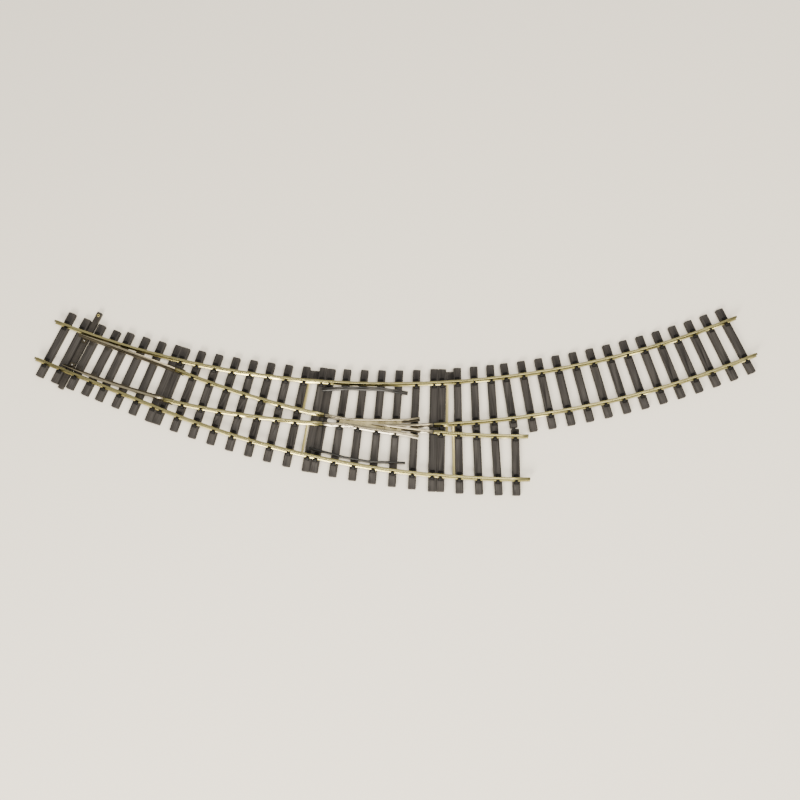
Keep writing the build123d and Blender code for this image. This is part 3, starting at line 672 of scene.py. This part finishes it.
@dataclass
class Shop:
    """What every sub-assembly needs: the loaded frame and one material for each finish."""

    frame: dict
    made: dict[str, bpy.types.Material] = field(default_factory=dict)

    def coat(self, finish: MouldedPlastic | WorkedMetal | PaleBoard) -> bpy.types.Material:
        """Gives the material of a finish, made the first time it is asked for."""
        if finish.name not in self.made:
            self.made[finish.name] = finish.material()
        return self.made[finish.name]

    def body_of(self, node: str) -> str:
        """Gives the name of the CAD body that a node belongs to."""
        return self.frame["nodes"][node]["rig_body"]

    def cleaned(self, node: str) -> bmesh.types.BMesh:
        """Copies a CAD node's mesh and joins its loose triangles.

        Args:
            node: The CAD node's name.

        Returns:
            A closed mesh in the row frame.
        """
        mesh = bmesh.new()
        mesh.from_mesh(self.frame["nodes"][node].data)
        bmesh.ops.remove_doubles(mesh, verts=mesh.verts, dist=MERGE)
        return mesh

    def show(
        self,
        mesh: bmesh.types.BMesh,
        name: str,
        body: str,
        slot: str,
        finishes: Iterable[MouldedPlastic | WorkedMetal],
        stands_for: str | None = None,
    ) -> bpy.types.Object:
        """Turns a finished mesh into a piece of the object.

        Args:
            mesh: The mesh, in the row frame; it is freed.
            name: The piece's name.
            body: The CAD body that it moves with.
            slot: The record's material slot; not used.
            finishes: One finish for each material number in the mesh.
            stands_for: The CAD node that it is shown in place of, if any.

        Returns:
            The piece's object.
        """
        data = bpy.data.meshes.new(name)
        mesh.to_mesh(data)
        mesh.free()
        data.shade_smooth()
        data.set_sharp_from_angle(angle=SHARP)
        piece = bpy.data.objects.new(name, data)
        bpy.context.scene.collection.objects.link(piece)
        for finish in finishes:
            data.materials.append(self.coat(finish))
        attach(piece, body)
        if stands_for:
            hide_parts(stands_for)
        LOG.info("%s: %d faces on %s", name, len(data.polygons), body)
        return piece


def loose_parts(mesh: bmesh.types.BMesh) -> list[list[bmesh.types.BMVert]]:
    """Splits a mesh into the parts that hang together.

    Args:
        mesh: The mesh to walk.

    Returns:
        The vertices of each part.
    """
    parts, seen = [], set()
    for start in mesh.verts:
        if start in seen:
            continue
        part, waiting = [], [start]
        seen.add(start)
        while waiting:
            vert = waiting.pop()
            part.append(vert)
            for edge in vert.link_edges:
                other = edge.other_vert(vert)
                if other not in seen:
                    seen.add(other)
                    waiting.append(other)
        parts.append(part)
    return parts


def map_along(
    mesh: bmesh.types.BMesh, bend: int, step: tuple[float, float] = (41.0, 69.7)
) -> None:
    """Writes a map in millimetres that runs along each part, whichever way the part lies.

    Args:
        mesh: The mesh that gets the map.
        bend: Degree of the curve that a part's middle line follows, 0 for a straight part, which
            takes the direction of its longest sharp edge.
        step: How far the map moves on, along and across, from one part to the next, so that no
            two look alike.
    """
    layer = mesh.loops.layers.uv.new(LENGTH_MAP)
    for number, part in enumerate(loose_parts(mesh)):
        flat = np.array([vert.co.xy for vert in part])
        flat -= flat.mean(axis=0)
        direction = np.linalg.eigh(flat.T @ flat)[1][:, 1]
        if not bend:
            sharp = [
                edge
                for edge in {edge for vert in part for edge in vert.link_edges}
                if edge.calc_face_angle(0.0) > SHARP
            ]
            longest = max(sharp, key=lambda edge: edge.calc_length())
            edge_run = longest.verts[1].co - longest.verts[0].co
            direction = np.array(edge_run.xy.normalized())
        along = flat @ direction
        across = flat @ np.array((-direction[1], direction[0]))
        if bend:
            across = across - np.polyval(np.polyfit(along, across, bend), along)
        place = {vert: (a, c) for vert, a, c in zip(part, along, across)}
        for vert in part:
            for loop in vert.link_loops:
                a, c = place[vert]
                loop[layer].uv = (
                    a / MM + number * step[0],
                    (c + vert.co.z) / MM + number * step[1],
                )


def soften(
    mesh: bmesh.types.BMesh,
    width: float,
    steps: int = 2,
    sharper_than: float = 40.0,
    flatter_than: float = 0.2,
) -> None:
    """Rounds the sharp edges of a mesh a little, as tumbling, moulding or filing does.

    Args:
        mesh: The mesh to round.
        width: Width of the rounding in mm.
        steps: Faces across the rounding.
        sharper_than: Smallest angle of an edge that is rounded, in degrees.
        flatter_than: Largest angle between faces that are joined first, in degrees.
    """
    bmesh.ops.dissolve_limit(
        mesh,
        angle_limit=math.radians(flatter_than),
        verts=mesh.verts,
        edges=mesh.edges,
        delimit={"NORMAL"},
    )
    sharp = [
        edge
        for edge in mesh.edges
        if len(edge.link_faces) == 2 and edge.calc_face_angle(0.0) > math.radians(sharper_than)
    ]
    bmesh.ops.bevel(
        mesh,
        geom=sharp,
        offset=width * MM,
        offset_type="OFFSET",
        segments=steps,
        profile=0.5,
        affect="EDGES",
        material=-1,
        clamp_overlap=True,
    )
    bmesh.ops.triangulate(mesh, faces=mesh.faces)


@dataclass
class SleeperModule:
    """A moulded group of sleepers with the chairs and clips that hold the rails."""

    shop: Shop
    node: str
    sleeper_top: float = 5.0
    bolt_width: float = 1.3
    bolt_height: float = 0.5
    bolt_sink: float = 0.0227
    bolt_bevel: float = 0.15
    bolt_sides: int = 6
    clip_play: float = 0.01
    chair_play: float = 0.02
    chair_rise: float = 0.05

    def clip_tops(self, mesh: bmesh.types.BMesh) -> list[Vector]:
        """Finds the middle of each clip's top.

        Args:
            mesh: The cleaned module.

        Returns:
            One point for each clip, in the row frame.
        """
        top = max(vert.co.z for vert in mesh.verts) - self.clip_play * MM
        high = {face for face in mesh.faces if min(vert.co.z for vert in face.verts) > top}
        middles = []
        while high:
            waiting, corners = [high.pop()], set()
            while waiting:
                face = waiting.pop()
                corners.update(face.verts)
                beside = {other for edge in face.edges for other in edge.link_faces} & high
                high -= beside
                waiting.extend(beside)
            middles.append(sum((vert.co for vert in corners), Vector()) / len(corners))
        return middles

    def build_sleepers(self) -> list[Vector]:
        """Builds the sleepers and dresses them.

        Returns:
            The middles of the clips' tops.
        """
        mesh = self.shop.cleaned(self.node)
        middles = self.clip_tops(mesh)
        map_along(mesh, bend=0)
        # A chair's faces start on the sleeper's top and go up from it.
        lowest = (self.sleeper_top - self.chair_play) * MM
        reached = (self.sleeper_top + self.chair_rise) * MM
        # Material 1, the chairs, is painted darker than the sleepers, partly as painted shade.
        for face in mesh.faces:
            heights = [vert.co.z for vert in face.verts]
            face.material_index = int(min(heights) > lowest and max(heights) > reached)
        self.shop.show(
            mesh,
            f"{self.node}_grained",
            self.shop.body_of(self.node),
            "sleeper_plastic",
            (SLEEPER_ABS, CHAIR_ABS_AND_PAINTED_SHADE),
            self.node,
        )
        return middles

    def build_bolts(self, middles: list[Vector]) -> None:
        """Builds a bolt head on each clip.

        Args:
            middles: Where the bolt heads stand.
        """
        mesh = bmesh.new()
        radius = self.bolt_width / 2 * MM
        raised = Vector((0, 0, (self.bolt_height / 2 - self.bolt_sink) * MM))
        for middle in middles:
            head = bmesh.ops.create_cone(
                mesh,
                cap_ends=True,
                segments=self.bolt_sides,
                radius1=radius,
                radius2=radius,
                depth=self.bolt_height * MM,
                matrix=Matrix.Translation(middle + raised),
            )
            crown = {
                edge
                for vert in head["verts"]
                for edge in vert.link_edges
                if all(v.co.z > middle.z + self.bolt_height / 2 * MM for v in edge.verts)
            }
            bmesh.ops.bevel(
                mesh,
                geom=list(crown),
                offset=self.bolt_bevel * MM,
                segments=1,
                profile=0.5,
                affect="EDGES",
                material=-1,
            )
        # The bolt heads take the chairs' colour, partly painted shade.
        self.shop.show(
            mesh,
            f"{self.node}_bolt_heads",
            self.shop.body_of(self.node),
            "sleeper_plastic",
            (CHAIR_ABS_AND_PAINTED_SHADE,),
        )

    def build(self) -> None:
        """Builds the module and its bolt heads."""
        self.build_bolts(self.build_sleepers())


@dataclass
class LongPiece:
    """Any piece but a sleeper module, with a finish that follows the piece's own length.

    The bend is the degree of the curve that its middle line follows, and the rounding the width
    that its sharp edges lose, with 0 for none.
    """

    shop: Shop
    node: str
    slot: str
    finish: MouldedPlastic | WorkedMetal
    bend: int = 5
    rounding: float = 0.0

    def build(self) -> None:
        """Builds the piece, with its edges rounded if it has a rounding."""
        mesh = self.shop.cleaned(self.node)
        if self.rounding:
            soften(mesh, self.rounding)
        map_along(mesh, self.bend)
        self.shop.show(
            mesh,
            f"{self.node}_finished",
            self.shop.body_of(self.node),
            self.slot,
            (self.finish,),
            self.node,
        )


@dataclass
class PinHeads:
    """Domed heads on the pins that link the blades to the tie bar."""

    shop: Shop
    node: str
    overhang: float = 0.35
    rise: float = 0.45
    sink: float = 0.02
    around: int = 20

    def build(self) -> None:
        """Builds one dome on each pin of the node."""
        source = self.shop.cleaned(self.node)
        mesh = bmesh.new()
        for part in loose_parts(source):
            corners = np.array([vert.co for vert in part])
            low, high = corners.min(axis=0), corners.max(axis=0)
            radius = (high[0] - low[0]) / 2 + self.overhang * MM
            middle = Vector(((low[0] + high[0]) / 2, (low[1] + high[1]) / 2, high[2]))
            dome = bmesh.ops.create_uvsphere(
                mesh,
                u_segments=self.around,
                v_segments=self.around // 2,
                radius=radius,
                matrix=Matrix.Translation(middle)
                @ Matrix.Diagonal((1, 1, self.rise * MM / radius, 1)),
            )
            sides = {edge for vert in dome["verts"] for edge in vert.link_edges}
            faces = {face for vert in dome["verts"] for face in vert.link_faces}
            cut = bmesh.ops.bisect_plane(
                mesh,
                geom=[*dome["verts"], *sides, *faces],
                plane_co=middle - Vector((0, 0, self.sink * MM)),
                plane_no=Vector((0, 0, -1)),
                clear_outer=True,
            )
            rim = [item for item in cut["geom_cut"] if isinstance(item, bmesh.types.BMEdge)]
            bmesh.ops.contextual_create(mesh, geom=rim)
        source.free()
        bmesh.ops.recalc_face_normals(mesh, faces=mesh.faces)
        self.shop.show(
            mesh, f"{self.node}_domes", self.shop.body_of(self.node), "pin_steel", (PIN_STEEL,)
        )


@dataclass
class DriveEyelet:
    """A rolled eyelet in the hole where a point motor takes hold of the tie bar.

    The bore is the hole's radius. The section rises from the depth to the throat, rolls over the
    crest and the shoulder, and comes down on the tie bar's top at the lip.
    """

    shop: Shop
    bore: float = 1.1
    wall: float = 0.22
    lip: float = 0.7
    depth: float = 1.4
    throat: float = 0.1
    crest: float = 0.3
    shoulder: tuple[float, float] = (0.42, 0.26)
    play: float = 0.02
    around: int = 32

    def build(self) -> None:
        """Builds the eyelet by turning its section round the hole's middle."""
        hole = next(
            mount
            for mount in self.shop.frame["record"]["mounts"]
            if mount["name"] == "tie_bar_drive"
        )
        middle = Vector(hole["pos_m"])
        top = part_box("tie_bar")[1].z
        section = (
            (self.bore - self.wall, -self.depth),
            (self.bore - self.wall, self.throat),
            (self.bore, self.crest),
            (self.bore + self.shoulder[0], self.shoulder[1]),
            (self.bore + self.lip, 0.0),
            (self.bore - self.play, 0.0),
            (self.bore - self.play, -self.depth),
        )
        mesh = bmesh.new()
        corners = [
            mesh.verts.new((middle.x + r * MM, middle.y, top + h * MM)) for r, h in section
        ]
        edges = [mesh.edges.new((corners[i - 1], corners[i])) for i in range(len(corners))]
        bmesh.ops.spin(
            mesh,
            geom=[*corners, *edges],
            cent=(middle.x, middle.y, top),
            axis=(0, 0, 1),
            angle=math.tau,
            steps=self.around,
            use_merge=True,
        )
        bmesh.ops.remove_doubles(mesh, verts=mesh.verts, dist=MERGE)
        bmesh.ops.recalc_face_normals(mesh, faces=mesh.faces)
        self.shop.show(mesh, "drive_eyelet", "tie_bar", "jumper_brass", (STRIP_BRASS,))


@dataclass(frozen=True)
class SoftBox:
    """A square soft box that hangs at a place in mm and faces the turnout."""

    name: str
    place: tuple[float, float, float]
    width: float
    watts: float
    tint: str = "#FFF7E8"

    def build(self) -> None:
        """Builds the light."""
        data = bpy.data.lights.new(self.name, "AREA")
        data.shape = "SQUARE"
        data.size = self.width * MM
        data.energy = self.watts
        data.color = linear(self.tint)[:3]
        light = bpy.data.objects.new(self.name, data)
        light.location = Vector(self.place) * MM
        light.rotation_euler = (-light.location).to_track_quat("-Z", "Y").to_euler()
        bpy.context.scene.collection.objects.link(light)


# The high box shines back from the rails, and the low one lights the near sides of the sleepers.
SOFT_BOXES = (
    SoftBox("top_box", (650, -500, 1900), width=1500, watts=64.0),
    SoftBox("front_box", (-600, -1500, 1000), width=700, watts=52.0),
)


@dataclass
class Studio:
    """The floor, the soft lights and the camera."""

    shop: Shop
    aim: tuple[float, float, float] = (5.55, -1.5, 10.5)
    distance: float = 1069.0
    azimuth: float = 1.57
    elevation: float = 73.6
    roll: float = -1.8
    lens: float = 44.13
    sensor: float = 36.0
    clip: tuple[float, float] = (0.01, 20.0)
    floor_width: float = 16000.0
    room_tint: str = "#F2EFE8"
    room_strength: float = 1.0

    def build_floor(self) -> None:
        """Builds the floor that the sleepers stand on."""
        mesh = bmesh.new()
        bmesh.ops.create_grid(mesh, x_segments=1, y_segments=1, size=self.floor_width / 2 * MM)
        data = bpy.data.meshes.new("floor")
        mesh.to_mesh(data)
        mesh.free()
        data.materials.append(self.shop.coat(PaleBoard()))
        floor = bpy.data.objects.new("floor", data)
        bpy.context.scene.collection.objects.link(floor)

    def build_world(self) -> None:
        """Builds the even light that fills the shadows."""
        world = bpy.data.worlds.new("soft_room")
        world.use_nodes = True
        world.node_tree.nodes.clear()
        back = add_node(
            world.node_tree,
            "ShaderNodeBackground",
            inputs={"Color": linear(self.room_tint), "Strength": self.room_strength},
        )
        add_node(
            world.node_tree,
            "ShaderNodeOutputWorld",
            inputs={"Surface": back.outputs["Background"]},
        )
        bpy.context.scene.world = world

    def build_camera(self) -> None:
        """Builds the camera and makes it the scene's own."""
        data = bpy.data.cameras.new("camera")
        data.lens = self.lens
        data.sensor_width = self.sensor
        data.clip_start, data.clip_end = self.clip
        camera = bpy.data.objects.new("camera", data)
        raised = math.radians(self.elevation)
        turned = math.radians(self.azimuth)
        level = math.cos(raised)
        back = Vector((math.sin(turned) * level, -math.cos(turned) * level, math.sin(raised)))
        camera.location = (Vector(self.aim) + back * self.distance) * MM
        turn = (-back).to_track_quat("-Z", "Y").to_matrix()
        tilt = Matrix.Rotation(math.radians(self.roll), 3, "Z")
        camera.rotation_euler = (turn @ tilt).to_euler()
        bpy.context.scene.collection.objects.link(camera)
        bpy.context.scene.camera = camera

    def build(self) -> None:
        """Builds the whole studio."""
        self.build_floor()
        for box in SOFT_BOXES:
            box.build()
        self.build_world()
        self.build_camera()


def main() -> None:
    """Builds every sub-assembly on the frame, in order."""
    logging.basicConfig(level=logging.INFO, format="%(name)s %(message)s")
    shop = Shop(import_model())
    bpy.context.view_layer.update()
    modules = ("switch", "closure", "crossing", "junction", "exit")
    parts: list[SleeperModule | LongPiece | PinHeads | DriveEyelet] = [
        SleeperModule(shop, f"{name}_sleepers") for name in modules
    ]
    parts += [
        LongPiece(shop, name, "rail_brass", RAIL_BRASS)
        for name in (
            "stock_rail_inner",
            "stock_rail_outer",
            "closure_rail_inner",
            "closure_rail_outer",
            "exit_rail_inner",
            "exit_rail_outer",
        )
    ]
    parts += [
        LongPiece(shop, name, "nickel_silver", NICKEL_SILVER, bend=2)
        for name in (
            "blade_left",
            "blade_right",
            "crossing_vee",
            "wing_rail_upper",
            "wing_rail_lower",
        )
    ]
    parts += [
        LongPiece(shop, name, "crossing_filler", FILLER_RESIN, bend=0, rounding=0.15)
        for name in ("throat_plate", "filler_blocks")
    ]
    parts += [
        LongPiece(shop, f"check_rail_{route}", "check_rail_plastic", CHECK_NYLON, bend=4)
        for route in ("inner", "outer")
    ]
    for end in ("approach", "exit"):
        for route in ("inner", "outer"):
            parts += [
                LongPiece(shop, f"joiner_{end}_{route}", "joiner_plastic", JOINER_NYLON, bend=0),
                LongPiece(
                    shop,
                    f"jumper_{end}_{route}",
                    "jumper_brass",
                    STRIP_BRASS,
                    bend=0,
                    rounding=0.08,
                ),
            ]
    parts += [
        LongPiece(shop, name, "plate_metal", PLATE_STEEL, bend=0, rounding=0.08)
        for name in ("slide_plates", "heel_plate_left", "heel_plate_right")
    ]
    parts += [
        LongPiece(shop, "tie_bar", "tie_bar_plastic", TIE_ACETAL, bend=0, rounding=0.25),
        *(
            LongPiece(shop, name, "pin_steel", PIN_STEEL, bend=0)
            for name in ("link_pins", "heel_pin_left", "heel_pin_right")
        ),
        PinHeads(shop, "link_pins"),
        DriveEyelet(shop),
    ]
    for part in parts:
        part.build()
    Studio(shop).build()
    bpy.context.view_layer.update()


if __name__ == "__main__":
    main()
